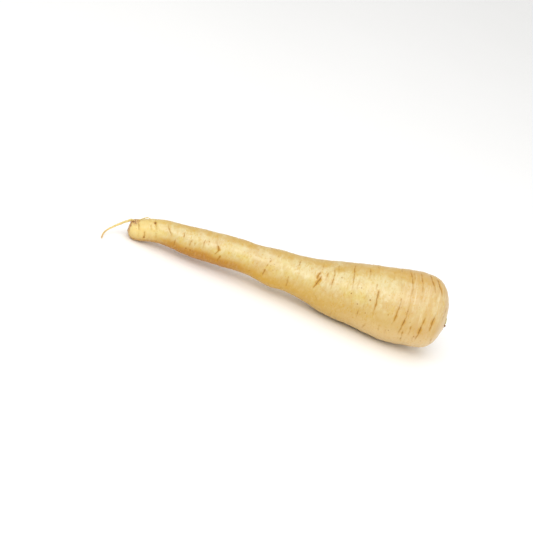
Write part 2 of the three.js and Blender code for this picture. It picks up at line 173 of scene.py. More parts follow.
# Relief of the skin: height and size of its swellings, its bumps, its grain, the torn face and the pit.
# ROUND_SHARE squeezes what lies round the root, so that the bumps run round it.
SWELLING_WAVES = (0.16, 34)
BUMP_WAVES = (0.085, 7.5)
GRAIN_WAVES = (0.035, 3.1)
FACE_WAVES = (0.10, 1.7)
PIT_WAVES = (0.10, 2.2)
ROUND_SHARE = 0.16
# The shoulder's fine rings, and the stretch over which they begin
RING_DEPTH = 0.04
RING_SPACING = 2.4
RING_STRETCH = (192, 228)

# Pores and specks that stand out: distance, angle, radius, darkness
SPECKS = [
    (161.5, 50, 0.40, 0.7), (178.0, 38, 0.38, 0.6), (185.5, 22, 0.50, 0.8), (177.8, 9, 0.45, 0.7),
    (185.0, -2, 0.40, 0.6), (201.0, 8, 0.40, 0.6), (223.7, -19, 0.45, 0.8), (229.5, -26, 0.40, 0.6),
    (204.9, -18, 0.40, 0.6), (217.7, 4, 0.35, 0.5), (171.8, 25, 0.45, 0.8), (147.7, 112, 0.55, 0.9),
    (19.9, 66, 0.80, 1.0), (13.2, -16, 0.65, 1.0), (5.0, 108, 0.60, 0.9), (7.6, 112, 0.55, 1.0),
    (9.0, 104, 0.40, 0.8), (45.5, -10, 0.45, 1.0), (48.8, -11, 0.45, 1.0), (49.1, -42, 0.45, 0.9),
    (50.5, -12, 0.35, 0.8), (106.6, 50, 0.30, 0.5), (111.8, 66, 0.30, 0.5), (110.9, 36, 0.30, 0.5),
    (111.2, 18, 0.30, 0.5), (108.5, 28, 0.28, 0.5), (226.4, 0, 0.50, 0.8), (213.8, 20, 0.35, 0.6),
]
SPECK_SPACING = 2.3

# The rootlet that hangs from the tail end, and its radius at both ends
ROOTLET = [
    (5.2, -0.6, 12.6), (2.9, -1.0, 14.1), (0.6, -1.2, 14.3), (-2.4, -2.0, 12.3), (-6.3, -4.2, 9.4),
    (-10.5, -8.2, 6.6), (-13.6, -12.6, 4.4), (-14.9, -17.0, 2.5), (-14.6, -21.0, 1.2),
]
ROOTLET_RADII = (1.0, 0.5)
# Fine hairs that arch over the tail end's top
TAIL_HAIRS = [
    [(4.2, -0.6, 14.9), (6.4, -0.8, 17.0), (8.9, -1.0, 19.5), (11.0, -1.0, 20.9), (13.0, -1.4, 20.9),
     (15.2, -2.4, 19.6), (16.8, -3.6, 17.6)],
    [(3.2, -1.6, 14.2), (1.9, -2.2, 15.3), (0.4, -3.0, 15.0), (-0.7, -3.8, 13.7)],
]
HAIR_RADII = (0.40, 0.30)
# Torn brown strands on the top of the cut rim
TAIL_STRANDS = [
    [(0.2, -2.8, 13.2), (1.0, -2.9, 14.4), (2.6, -2.8, 14.9), (4.4, -2.4, 15.0)],
    [(0.5, -0.2, 13.8), (1.4, -0.8, 15.0), (2.6, -1.8, 15.2), (3.4, -3.0, 14.6)],
    [(3.0, -0.6, 14.9), (4.6, -0.9, 15.9), (6.2, -1.8, 15.9), (7.4, -2.6, 15.6)],
    [(0.4, -3.6, 12.6), (0.6, -4.6, 12.4), (1.6, -5.4, 12.4)],
    [(6.4, 0.4, 16.0), (7.6, 0.0, 16.8), (9.2, -0.6, 17.2), (10.6, -0.8, 17.4)],
]
STRAND_RADII = (0.26, 0.12)
# A direction that no tube starts along, and how far a tube's ends bulge against its radius there
OFF_PATH = (0.31, 0.47, 0.83)
START_BULGE = 0.4
END_BULGE = 0.6

# The crown, in its own frame: x to the -Y side, y out along the crown's axis, z up
CROWN_PROFILE = np.array([
    (0.0, 4.0), (1.4, 4.2), (2.9, 4.1), (3.8, 3.3), (4.6, 3.7), (5.3, 2.8), (6.0, 3.2), (6.7, 2.4),
    (7.4, 2.8), (8.1, 2.1), (8.7, 2.6), (9.15, 2.1), (9.2, 0.4),
])
CROWN_GAP = 0.35
CORK_TOP = 4.6
DISC_RINGS = 72
DISC_ROUND = 192
WALL_ROUND = 28
# Trimmed leaf bases: radius, first angle, arc, height of the top over the pit's floor
LEAF_BASES = [
    (8.4, 20, 95, 3.9), (8.3, 150, 80, 3.7), (8.4, 255, 60, 3.8), (6.7, 80, 105, 4.6), (6.6, 215, 70, 4.5),
    (5.0, 15, 85, 5.1), (4.9, 140, 95, 5.3), (3.2, 60, 130, 5.6), (1.7, 180, 150, 5.9),
]
LEAF_BASE_THICK = 0.7
LEAF_BASE_FOOT = 1.2
# Relief of the cork and of the leaf bases: height and size
CORK_LUMPS = (0.22, 1.5)
CORK_GRAIN = (0.10, 0.7)
WALL_GRAIN = (0.05, 0.9)
# Long fibres over the rim: angle, sweep, how far each reaches past the rim, height over the rim
LONG_FIBRES = [
    (-34, 6, -1.2, 0.4), (-52, 9, -0.9, 0.4), (-76, -8, -0.7, 0.4), (-100, 5, -0.9, 0.5), (30, 8, -1.4, 0.0),
    (100, -6, -0.8, 0.4), (128, 5, 0.2, 0.9), (150, 9, 1.2, 1.3), (168, -6, 0.6, 1.0), (200, 8, 1.6, 1.2),
    (222, -9, 0.3, 1.0),
]
LONG_FIBRE_RADII = (0.36, 0.15)
# A brown scrap of a leaf base beside the stalk: angle, radius and height over the rim of its tip
SCRAP = (math.radians(-17), 9.8, 1.1)
SCRAP_RADII = (0.5, 0.8)
SHORT_FIBRES = 70
FIBRE_SEED = 23

# The cut leaf stalk
STALK_ANGLE = math.radians(-8)
STALK_OFFSET = 5.4
STALK_RADIUS = 2.7
STALK_WALL = 1.0
STALK_BASE = 3.9
STALK_TOP = 6.1
STALK_OPEN = math.radians(62)
STALK_STEPS = 110

# The photograph's view: where the camera aims on the root, its turn, height, roll, distance and lens
AIM = (106.7, 0.0, 19.1)
CAMERA_TURN = math.radians(4.15)
CAMERA_HEIGHT = math.radians(25)
CAMERA_ROLL = math.radians(23.44)
CAMERA_DISTANCE = 1000
LENS = 90.2

# Colours as red, green and blue of 255
CREAM = (212, 196, 144)
DEEP_CREAM = (206, 183, 118)
PALE = (222, 208, 164)
YELLOW = (211, 188, 104)
TAN = (202, 166, 110)
# The three golds below are also painted shade on the low side, the very top and the underside of the tail
# half; the first also colours the real fine rings of the shoulder, the second the real golden dashes, and the
# third is painted shade only.
RING_AND_SHADE_GOLD = (198, 164, 90)
GOLD = (200, 154, 34)
SHADE_GOLD = (174, 116, 16)
# The next colour is the tail end's own paler tone, laid on more strongly on the upper side as a painted
# highlight; the rootlet takes it too.
PALE_TIP = (230, 205, 128)
STAIN = (190, 138, 20)
CREASE_GOLD = (150, 98, 0)
TAIL_GOLD = (166, 124, 0)
CREASE_BROWN = (104, 62, 0)
SPECK_BROWN = (116, 66, 4)
SPECK_GOLD = (190, 130, 20)
TAIL_BROWN = (190, 138, 78)
# The next pale is also laid on the low edge towards the shoulder as painted light.
CUT_AND_LIGHT_PALE = (224, 196, 146)
CUT_PURPLE = (140, 92, 66)
PIT_TAN = (190, 142, 74)
PIT_BROWN = (96, 60, 30)
PIT_BLACK = (36, 19, 10)
CORK = (146, 104, 62)
CORK_DARK = (58, 32, 17)
CORK_HEART = (186, 166, 104)
HUSK = (196, 158, 106)
HUSK_DARK = (112, 74, 42)
STALK_GREEN = (138, 144, 48)
STALK_PALE = (204, 192, 118)
STALK_BROWN = (112, 80, 52)
FLOOR_WHITE = (250, 250, 249)
WHITE = (255, 255, 255)


def follow(table, column, x):
    """A column of a table as a smooth function of its first column: cubic pieces, averaged slopes."""
    places, values = table[:, 0], table[:, column]
    step = np.diff(places)
    rise = np.diff(values) / step
    inner = (rise[:-1] * step[1:] + rise[1:] * step[:-1]) / (step[:-1] + step[1:])
    tangent = np.concatenate((rise[:1], inner, rise[-1:]))
    i = np.clip(np.searchsorted(places, x, side="right") - 1, 0, len(step) - 1)
    t = (x - places[i]) / step[i]
    start = (2 * t**3 - 3 * t**2 + 1) * values[i] + (t**3 - 2 * t**2 + t) * step[i] * tangent[i]
    end = (3 * t**2 - 2 * t**3) * values[i + 1] + (t**3 - t**2) * step[i] * tangent[i + 1]
    return start + end


def smooth(value, low, high):
    """0 at low, 1 at high, with soft ends."""
    t = np.clip((value - low) / (high - low), 0, 1)
    return t * t * (3 - 2 * t)


def waves(points, length, seed, count=28):
    """A smooth random field about 0 over points, with features of about that length."""
    rng = np.random.default_rng(seed)
    total = np.zeros(points.shape[:-1])
    for _ in range(count):
        way = rng.normal(size=3)
        way *= 2 * math.pi / length * rng.uniform(0.6, 1.4) / np.linalg.norm(way)
        total += np.sin(points @ way + rng.uniform(0, 2 * math.pi))
    return total / math.sqrt(count / 2)


def arc_lengths(rows):
    """The length of the line through the rows, up to each."""
    return np.concatenate(([0.0], np.cumsum(np.linalg.norm(np.diff(rows, axis=0), axis=1))))


def line_slope(x):
    """The slope of the centre line at x."""
    near = 0.5
    rise = follow(OUTLINE, 2, x + near) - follow(OUTLINE, 2, x - near)
    return np.arctan(rise / (2 * near))


def section_slope(x):
    """The slope of the section at x: square to the centre line but for the tail end and the crown."""
    tail = np.interp(x, (TAIL_END, TAIL_LENGTH), (TAIL_LEAN, line_slope(TAIL_LENGTH)))
    blend = SHOULDER_START - CROWN_BLEND
    crown = np.interp(x, (blend, SHOULDER_START), (line_slope(blend), CROWN_SLOPE))
    return np.where(x < TAIL_LENGTH, tail, np.where(x < blend, line_slope(x), crown))


def swelling(x, angle):
    """Slow swelling of the section, as a share of its radius."""
    return (
        0.010 * np.sin(2 * angle + 0.9 + x / 40)
        + 0.007 * np.sin(3 * angle - 0.6 - x / 27)
        + 0.005 * np.sin(x / 9 + 2 * np.sin(angle))
    )


def crown_vector(x, y, z):
    """A vector of the crown's frame in the part's own."""
    along = y * math.cos(CROWN_SLOPE) - z * math.sin(CROWN_SLOPE)
    up = y * math.sin(CROWN_SLOPE) + z * math.cos(CROWN_SLOPE)
    return np.stack((along, 0 * along - x, up), axis=-1)


def on_crown(radius, angle, out):
    """A point of the crown, from its radius, angle and distance out along the axis."""
    base = np.array((SHOULDER_START, 0, OUTLINE[-1, 2]))
    return base + crown_vector(radius * np.cos(angle), out + 0 * angle, radius * np.sin(angle))


# The skin
def skin_rings():
    """Every ring of the skin, from the middle of the tail face to the foot of the pit's wall."""
    face = np.linspace(0, TAIL_FACE[-1, 0], FACE_RINGS + 1)[1:-1]
    body = TAIL_END + (SHOULDER_START - TAIL_END) * np.linspace(0, 1, BODY_RINGS)
    lengths = arc_lengths(SHOULDER)
    travel = np.linspace(0, lengths[-1], SHOULDER_RINGS + 1)[1:]
    route = np.column_stack((lengths, SHOULDER))
    out = follow(route, 1, travel)
    face_at = np.interp(face, TAIL_FACE[:, 0], TAIL_FACE[:, 1])
    face_tilt = (face_at - TAIL_END) * math.tan(TAIL_LEAN)
    radius = np.concatenate((face, follow(OUTLINE, 1, body), follow(route, 2, travel)))
    distance = np.concatenate((face_at, body, SHOULDER_START + out))
    x = np.concatenate((face_at, body, SHOULDER_START + out * math.cos(CROWN_SLOPE)))
    z = np.concatenate((
        OUTLINE[0, 2] + face_tilt, follow(OUTLINE, 2, body), OUTLINE[-1, 2] + out * math.sin(CROWN_SLOPE),
    ))
    on_shoulder = distance > SHOULDER_START
    shoulder_share = smooth(radius, SHOULDER[-1, 1], SHOULDER[0, 1])
    body_travel = body - SHOULDER_START - lengths[RIM_ROW]
    face_travel = TAIL_FACE[-1, 0] - face
    return {
        "radius": radius,
        "distance": distance,
        "slope": np.concatenate((TAIL_LEAN + 0 * face, section_slope(body), CROWN_SLOPE + 0 * out)),
        "centre": np.column_stack((x, 0 * x, z)),
        "evenness": np.where(on_shoulder, shoulder_share, 1),
        "past_rim": np.concatenate((body_travel[0] + 0 * face, body_travel, travel - lengths[RIM_ROW])),
        "past_tail": np.concatenate((face_travel, TAIL_END - body, TAIL_END - SHOULDER_START - out)),
    }


def ring_points(rows, angle):
    """The rings' points at each angle, and the way out of each ring there."""
    slope, distance = rows["slope"][:, None], rows["distance"][:, None]
    outwards = np.stack((
        -np.sin(slope) * np.sin(angle), -np.cos(angle) + 0 * slope, np.cos(slope) * np.sin(angle),
    ), axis=-1)
    radius = rows["radius"][:, None] * (1 + rows["evenness"][:, None] * swelling(distance, angle))
    return rows["centre"][:, None] + radius[..., None] * outwards, outwards


def find_shift():
    """What moves the part's own millimetres into the frame: its crown end and sides meet the root's box."""
    low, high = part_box("root")
    points, _ = ring_points(skin_rings(), 2 * math.pi * np.arange(ROUND)[None] / ROUND)
    middle = (points[..., 1].min() + points[..., 1].max()) / 2
    return np.array((high.x / MM - points[..., 0].max(), (low.y + high.y) / (2 * MM) - middle, -FLAT_DEPTH))


SHIFT = find_shift()


def arc_crease(depth, stain, first, last):
    """A crease between two places, its stain strongest in two stretches."""
    stains = (0.1, 0.9, 0.6, 1.0, 0.1)
    shares = (0.0, 0.3, 0.5, 0.72, 1.0)
    (from_at, from_angle), (to_at, to_angle) = first, last
    route = [
        (from_at + share * (to_at - from_at), from_angle + share * (to_angle - from_angle), stain * level)
        for share, level in zip(shares, stains)
    ]
    return depth, CREASE_WIDTH, route


def faint_creases():
    """Short faint creases all over, closer together towards the crown, and long ones over the shoulder."""
    rng = np.random.default_rng(FAINT_SEED)
    made = []
    for count, (start, end), halves, depths, stains in FAINT_CREASES:
        for _ in range(count):
            distance = start + (end - start) * rng.uniform() ** 0.75
            half = rng.uniform(*halves)
            middle = rng.uniform(-180, 180)
            lean = rng.normal() * 0.5
            depth = rng.uniform(*depths)
            stain = stains[0] + (stains[1] - stains[0]) * rng.uniform() ** 2
            ends = (distance - lean, middle - half), (distance + lean, middle + half)
            made.append(arc_crease(depth, stain, *ends))
    return made


def fade(share, reach):
    """1 along a crease, 0 at both of its ends."""
    return smooth(share, 0, reach) * smooth(1 - share, 0, reach)


def mark_creases(creases, distance, degrees, radius):
    """The creases' relief, how far each point is from the nearest along the root, and how near in 0 to 1."""
    relief = np.zeros(distance.shape)
    offset = np.full(distance.shape, CREASE_REACH)
    near = np.zeros(distance.shape)
    # Each crease wanders by a fraction of a millimetre and is broken into pieces
    for depth, width, route in creases:
        by_angle = np.array(sorted((angle, at, stain) for at, angle, stain in route))
        first, last = by_angle[0, 0], by_angle[-1, 0]
        turned = (degrees - first) % 360
        turned = np.where(turned > (last - first + 360) / 2, turned - 360, turned)
        share = turned / (last - first)
        at = np.clip(first + turned, first, last)
        along = np.radians(turned) * radius
        wobble = 0.16 * np.sin(along / 1.9 + first) + 0.10 * np.sin(along / 0.8 + last)
        away = distance - wobble - follow(by_angle, 1, at)
        pieces = smooth(np.sin(along / 1.3 + last) + 0.7 * np.sin(along / 0.53 + first), -0.9, 0.9)
        stain = np.interp(at, by_angle[:, 0], by_angle[:, 2]) * fade(share, STAIN_FADE)
        stain = stain * (0.55 + 0.45 * pieces)
        dip = np.exp(-((away / width) ** 2))
        lips = np.exp(-((away / (LIP_WIDTH * width)) ** 2))
        groove = (1 + LIP_SHARE) * dip - LIP_SHARE * lips
        relief -= depth * fade(share, GROOVE_FADE) * (0.45 + 0.55 * pieces) * groove
        strength = stain * np.exp(-((away / (0.7 + 0.8 * stain)) ** 2))
        nearer = strength > near
        offset[nearer] = away[nearer]
        near[nearer] = strength[nearer]
    return relief, offset, near


def uneven(points, kind, seed):
    """Relief of one kind, from its height and the size of its features."""
    height, size = kind
    return height * waves(points, size, seed)


def build_skin():
    """The whole skin as one closed grid, with what its material needs at each point."""
    rows = skin_rings()
    angle = 2 * math.pi * np.arange(ROUND)[None] / ROUND - math.pi / 2
    points, outwards = ring_points(rows, angle)
    distance = rows["distance"][:, None] + 0 * angle
    radius = rows["radius"][:, None] + 0 * angle
    past_rim = rows["past_rim"][:, None] + 0 * angle
    past_tail = rows["past_tail"][:, None] + 0 * angle
    section = np.stack((distance, radius * np.cos(angle), radius * np.sin(angle)), axis=-1)
    normal = np.cross(np.gradient(points, axis=0), np.roll(points, -1, axis=1) - np.roll(points, 1, axis=1))
    normal /= np.linalg.norm(normal, axis=-1, keepdims=True)
    normal *= np.sign((normal * outwards).sum(axis=-1).mean())

    creases = CREASES + [arc_crease(*crease) for crease in FAR_CREASES] + faint_creases()
    relief, offset, near = mark_creases(creases, distance, np.degrees(angle) + 0 * distance, radius)
    relief *= smooth(-past_tail, 0, 1.5) * smooth(-past_rim, 0, 3)
    ringed = section * np.array((1, ROUND_SHARE, ROUND_SHARE))
    fine_rings = np.sin(2 * math.pi * distance / RING_SPACING + 1.5 * waves(ringed, 18, 3))
    on_shoulder = smooth(distance, *RING_STRETCH) * smooth(-past_rim, 8, 20)
    on_skin = smooth(-past_tail, 2, 12) * smooth(-past_rim, 1, 6)
    relief += on_skin * (uneven(ringed, BUMP_WAVES, 1) + uneven(ringed, GRAIN_WAVES, 2))
    relief += on_skin * (uneven(section, SWELLING_WAVES, 4) + RING_DEPTH * on_shoulder * fine_rings)
    relief += smooth(past_tail, 0, 1) * uneven(section * np.array((0, 1, 1)), FACE_WAVES, 6)
    relief += smooth(past_rim, 0.3, 2) * uneven(section, PIT_WAVES, 7)

    piece = Piece("parsnip_skin")
    start = rows["centre"][0] + np.array((TAIL_FACE[0, 1] - rows["distance"][0], 0, 0))
    points = points + relief[..., None] * normal
    points[..., 2] = np.maximum(points[..., 2], FLAT_DEPTH)
    piece.add(
        points, start, on_crown(0, 0, PIT_FLOOR), section=section, offset=offset, near=near,
        past_rim=past_rim, past_tail=past_tail, height=np.sin(angle) + 0 * distance,
    )
    return piece.make()


# Meshes
class Piece:
    """One mesh gathered from grids of points in the part's own millimetres."""

    def __init__(self, name):
        self.name = name
        self.points, self.faces, self.values = [], [], {}
        self.count = 0

    def add(self, grid, start, end, **values):
        """A closed form of rings, each end drawn together in a point, with a value or a vector at each."""
        rings, around = grid.shape[:2]
        at = self.count + 1 + np.arange(rings * around).reshape(rings, around)
        after = np.roll(at, -1, axis=1)
        sides = np.stack((at[:-1], after[:-1], after[1:], at[1:]), axis=-1).reshape(-1, 4)
        last = self.count + 1 + rings * around
        for near, far in zip(at[0], after[0]):
            self.faces.append((self.count, int(far), int(near)))
        for near, far in zip(at[-1], after[-1]):
            self.faces.append((last, int(near), int(far)))
        self.faces += sides.tolist()
        self.points += [start[None], grid.reshape(-1, 3), end[None]]
        self.count = last + 1
        for name, value in values.items():
            width = 3 if name == "section" else 1
            shape = (rings, around, width) if width > 1 else (rings, around)
            value = np.broadcast_to(value, shape).reshape(rings, around, width)
            at_start, at_end = value[0].mean(axis=0)[None], value[-1].mean(axis=0)[None]
            self.values.setdefault(name, []).extend((at_start, value.reshape(-1, width), at_end))

    def make(self):
        """The object of the gathered grids, with a smooth surface and its values as attributes."""
        mesh = bpy.data.meshes.new(self.name)
        points = (np.concatenate(self.points) + SHIFT) * MM
        mesh.from_pydata(points.tolist(), [], self.faces)
        for name, parts in self.values.items():
            data = np.concatenate(parts).astype(np.float32)
            vector = data.shape[1] == 3
            layer = mesh.attributes.new(name, "FLOAT_VECTOR" if vector else "FLOAT", "POINT")
            layer.data.foreach_set("vector" if vector else "value", data.ravel())
        loose = bmesh.new()
        loose.from_mesh(mesh)
        bmesh.ops.recalc_face_normals(loose, faces=loose.faces)
        loose.to_mesh(mesh)
        loose.free()
        mesh.polygons.foreach_set("use_smooth", np.ones(len(mesh.polygons), bool))
        mesh.update()
        made = bpy.data.objects.new(self.name, mesh)
        bpy.context.scene.collection.objects.link(made)
        return made


def tube(piece, path, radii, sides, steps, roughness=0.0, seed=0, **values):
    """A tapered round tube through the points of a path, its radius given at both ends."""
    path = np.array(path, float)
    lengths = arc_lengths(path)
    route = np.column_stack((lengths, path))
    travel = np.linspace(0, lengths[-1], steps)
    centre = np.stack([follow(route, column, travel) for column in (1, 2, 3)], axis=-1)
    ahead = np.gradient(centre, axis=0)
    ahead /= np.linalg.norm(ahead, axis=1, keepdims=True)
    side = np.cross(ahead[0], OFF_PATH)
    frames = []
    for way in ahead:
        side = side - way * (side @ way)
        side /= np.linalg.norm(side)
        frames.append((side, np.cross(way, side)))
    first, second = (np.array(each)[:, None] for each in zip(*frames))
    angle = (2 * math.pi * np.arange(sides) / sides)[None, :, None]
    radius = np.interp(travel, (0, lengths[-1]), radii)[:, None, None]
    grid = centre[:, None] + radius * (np.cos(angle) * first + np.sin(angle) * second)
    if roughness:
        rough = 1 + roughness * waves(grid, 1.1, seed)[..., None]
        grid = centre[:, None] + (grid - centre[:, None]) * rough
    start = centre[0] - ahead[0] * radii[0] * START_BULGE
    end = centre[-1] + ahead[-1] * radii[1] * END_BULGE
    share = (travel / lengths[-1])[:, None] + 0 * angle[..., 0]
    piece.add(grid, start, end, section=grid, share=share, **values)


# The rootlet and the hairs at the tail
def build_rootlet():
    piece = Piece("parsnip_rootlet")
    tube(piece, ROOTLET, ROOTLET_RADII, sides=14, steps=90, roughness=0.10, seed=31, brown=0)
    for path in TAIL_HAIRS:
        tube(piece, path, HAIR_RADII, sides=6, steps=18, brown=0)
    for path in TAIL_STRANDS:
        tube(piece, path, STRAND_RADII, sides=8, steps=18, roughness=0.2, seed=33, brown=1)
    return piece.make()


# The crown
def corky_disc(piece):
    """The ringed disc in the pit, its rings a little out of round."""
    edge = CROWN_PROFILE[-1, 0]
    radius = np.linspace(0, edge, DISC_RINGS + 1)[1:]
    angle = 2 * math.pi * np.arange(DISC_ROUND)[None] / DISC_ROUND
    radius = radius[:, None] + 0 * angle
    wander = radius + 0.28 * np.sin(2 * angle + 0.7) + 0.22 * np.sin(3 * angle + radius * 0.6)
    height = np.interp(np.clip(wander, 0, edge), CROWN_PROFILE[:, 0], CROWN_PROFILE[:, 1])
    flat = np.stack((radius * np.cos(angle), 0 * radius, radius * np.sin(angle)), axis=-1)
    height = height + uneven(flat, CORK_LUMPS, 41) + uneven(flat, CORK_GRAIN, 42)
    height[-1] = CROWN_GAP
    grid = on_crown(radius, angle, PIT_FLOOR + height)
    start = on_crown(0, 0, PIT_FLOOR + height[0].mean())
    end = on_crown(0, 0, PIT_FLOOR + CROWN_GAP)
    piece.add(grid, start, end, section=grid, share=height / CORK_TOP, husk=0, out=radius)


def curved_wall(piece, middle, face, arc, size, foot, top, steps, seed, **values):
    """A thin standing wall on an arc about a point of the crown, its top uneven and its ends rounded.

    middle and face: where the arc's middle is and how far it is turned; arc: the first angle and the sweep;
    size: radius and thickness; top: height, unevenness and how softly the top falls at both ends.
    """
    (first, sweep), (radius, thick), (high, unevenness, fall) = arc, size, top
    around = 2 * math.pi * np.arange(WALL_ROUND) / WALL_ROUND
    across = np.sign(np.cos(around)) * np.abs(np.cos(around)) ** 0.5
    up = (1 + np.sign(np.sin(around)) * np.abs(np.sin(around)) ** 0.35) / 2
    share = np.linspace(0, 1, steps)[:, None]
    rounding = np.sqrt(np.clip(1 - np.abs(2 * share - 1) ** 6, 0.02, 1))
    angle = first + sweep * share + 0 * across
    along = np.stack((share * sweep * radius, 0 * share, 0 * share), axis=-1)
    level = 1 + unevenness * waves(along, 1.6, seed)
    height = foot + (high - foot) * level * rounding ** fall * up
    local = radius + thick / 2 * across * rounding
    x = middle[0] + local * np.cos(angle)
    y = middle[1] + local * np.sin(angle)
    turned = x * math.cos(face) - y * math.sin(face), x * math.sin(face) + y * math.cos(face)
    base = np.array((SHOULDER_START, 0, OUTLINE[-1, 2]))
    grid = base + crown_vector(turned[0], PIT_FLOOR + height, turned[1])
    grid = grid + uneven(grid, WALL_GRAIN, seed + 1)[..., None]
    piece.add(
        grid, grid[0].mean(axis=0), grid[-1].mean(axis=0), section=grid, share=up + 0 * share, **values,
    )


def leaf_bases(piece, rng):
    for count, (radius, first, sweep, top) in enumerate(LEAF_BASES):
        curved_wall(
            piece, middle=(0, 0), face=0, arc=(math.radians(first), math.radians(sweep)),
            size=(radius, LEAF_BASE_THICK), foot=LEAF_BASE_FOOT, top=(top, 0.10, 0.6), steps=60,
            seed=50 + 2 * count, husk=0.45 + 0.35 * rng.uniform(), out=radius,
        )


def long_fibres(piece, rng):
    """Dry fibres that rise beside the pit's wall and bend out over the rim."""
    for degrees, sweep, reach, rise in LONG_FIBRES:
        angle, turn = math.radians(degrees), math.radians(sweep)
        path = [
            on_crown(7.0, angle - turn / 3, PIT_FLOOR + 1.6),
            on_crown(7.9, angle, PIT_FLOOR + 2.9),
            on_crown(8.7, angle + turn / 4, PIT_FLOOR + 4.1),
            on_crown(RIM_RADIUS - 1.5, angle + turn * 0.4, RIM_OUT + rise * 0.8),
            on_crown(RIM_RADIUS - 0.6 + reach / 2, angle + turn * 0.8, RIM_OUT + rise),
            on_crown(RIM_RADIUS + reach, angle + turn * 1.3, RIM_OUT + rise * 0.9),
        ]
        tube(
            piece, path, LONG_FIBRE_RADII, sides=8, steps=24, roughness=0.12, seed=71,
            husk=rng.uniform(0.7, 1), out=9,
        )


def torn_scrap(piece):
    """The scrap beside the stalk, which shows past the shoulder in the photograph."""
    angle, radius, rise = SCRAP
    path = [
        on_crown(radius - 2.6, angle, PIT_FLOOR + 2.0),
        on_crown(radius - 1.0, angle, PIT_FLOOR + 4.0),
        on_crown(radius, angle, RIM_OUT + rise),
    ]
    tube(piece, path, SCRAP_RADII, sides=12, steps=24, roughness=0.2, seed=73, husk=0.5, out=radius)


def short_fibres(piece, rng):
    """Broken fibres that stand on the disc."""
    foot = PIT_FLOOR + 2.0
    for _ in range(SHORT_FIBRES):
        angle, turn = rng.uniform(0, 2 * math.pi), rng.normal() * 0.35
        radius, rise = rng.uniform(4.5, 8.6), rng.uniform(1.0, 3.6)
        reach = min(radius + rng.uniform(0.3, 2.6), 9.4)
        path = [
            on_crown(radius, angle, foot),
            on_crown((radius + reach) / 2, angle + turn * 0.4, foot + 0.2 + rise * 0.8),
            on_crown(reach, angle + turn, foot + 0.2 + rise),
        ]
        thick = rng.uniform(0.12, 0.28)
        tube(piece, path, (thick, 0.08), sides=6, steps=10, husk=rng.uniform(0.35, 1), out=radius)


def build_crown():
    rng = np.random.default_rng(FIBRE_SEED)
    piece = Piece("parsnip_crown")
    corky_disc(piece)
    leaf_bases(piece, rng)
    long_fibres(piece, rng)
    torn_scrap(piece)
    short_fibres(piece, rng)
    return piece.make()


def build_stalk():
    piece = Piece("parsnip_leaf_stalk")
    lip = math.pi - STALK_OPEN
    curved_wall(
        piece, middle=(STALK_OFFSET, 0), face=STALK_ANGLE, arc=(-lip, 2 * lip),
        size=(STALK_RADIUS - STALK_WALL / 2, STALK_WALL), foot=STALK_BASE, top=(STALK_TOP, 0.02, 0.08),
        steps=STALK_STEPS, seed=91, along=np.linspace(0, 1, STALK_STEPS)[:, None],
    )
    return piece.make()


# Materials
def paint(colour):
    """A colour of 255 as the linear values that a shader takes."""
    share = np.array(colour) / 255
    return tuple(np.where(share < 0.04045, share / 12.92, ((share + 0.055) / 1.055) ** 2.4)) + (1.0,)


class Finish:
    """One material, with short names for the nodes that colour it."""

    def __init__(self, name, roughness=0.5, specular=0.5, glow=0.0, glow_depth=1.0):
        self.material = bpy.data.materials.new(name)
        self.material.use_nodes = True
        self.tree = self.material.node_tree
        self.shader = self.tree.nodes["Principled BSDF"]
        self.colour = None
        self.shader.inputs["Roughness"].default_value = roughness
        self.shader.inputs["Specular IOR Level"].default_value = specular
        self.shader.inputs["Subsurface Weight"].default_value = glow
        self.shader.inputs["Subsurface Radius"].default_value = (1.0, 0.75, 0.40)
        self.shader.inputs["Subsurface Scale"].default_value = glow_depth * MM

    def node(self, kind, inputs, output=0, **settings):
        """Adds a node, its inputs linked to sockets or set to values, and gives one of its outputs."""
        made = self.tree.nodes.new(kind)
        for name, value in settings.items():
            setattr(made, name, value)
        for socket, value in inputs.items():
            if isinstance(value, bpy.types.NodeSocket):
                self.tree.links.new(value, made.inputs[socket])
            else:
                made.inputs[socket].default_value = value
        return made.outputs[output]

    def attribute(self, name, output="Fac"):
        return self.node("ShaderNodeAttribute", {}, output, attribute_type="GEOMETRY", attribute_name=name)

    def math(self, operation, first, second=0.0):
        return self.node("ShaderNodeMath", {0: first, 1: second}, operation=operation)

    def times(self, first, second):
        return self.math("MULTIPLY", first, second)

    def stray(self, value, noise, reach):
        """A value that a noise moves up and down, by about a fifth of the reach."""
        return self.math("ADD", value, self.times(self.math("SUBTRACT", noise, 0.5), reach))

    def stretch(self, vector, scale):
        return self.node("ShaderNodeVectorMath", {0: vector, 1: scale}, operation="MULTIPLY")

    def noise(self, vector, size, detail=3.0, seed=0.0):
        """Noise with features of about size millimetres, seldom outside 0.3 to 0.7."""
        inputs = {"Vector": vector, "Scale": 1 / size, "Detail": detail, "Roughness": 0.55, "W": seed}
        return self.node("ShaderNodeTexNoise", inputs, "Fac", noise_dimensions="4D")

    def step(self, value, low, high, low_result=0.0, high_result=1.0):
        """low_result at low, high_result at high, with soft ends."""
        inputs = {
            "Value": value, "From Min": low, "From Max": high, "To Min": low_result, "To Max": high_result,
        }
        return self.node("ShaderNodeMapRange", inputs, interpolation_type="SMOOTHSTEP")

    def mix(self, share, low, high):
        low, high = (each if isinstance(each, bpy.types.NodeSocket) else paint(each) for each in (low, high))
        return self.node("ShaderNodeMix", {0: share, 6: low, 7: high}, 2, data_type="RGBA")

    def ground(self, share, low, high):
        """The colour that the others are laid over."""
        self.colour = self.mix(share, low, high)

    def over(self, share, tint):
        """Lays a share of another colour over what is there so far."""
        self.colour = self.mix(share, self.colour, tint)

    def put(self, name, value):
        self.tree.links.new(value, self.shader.inputs[name])

    def bump(self, height, strength, distance):
        inputs = {"Strength": strength, "Distance": distance * MM, "Height": height}
        self.put("Normal", self.node("ShaderNodeBump", inputs))


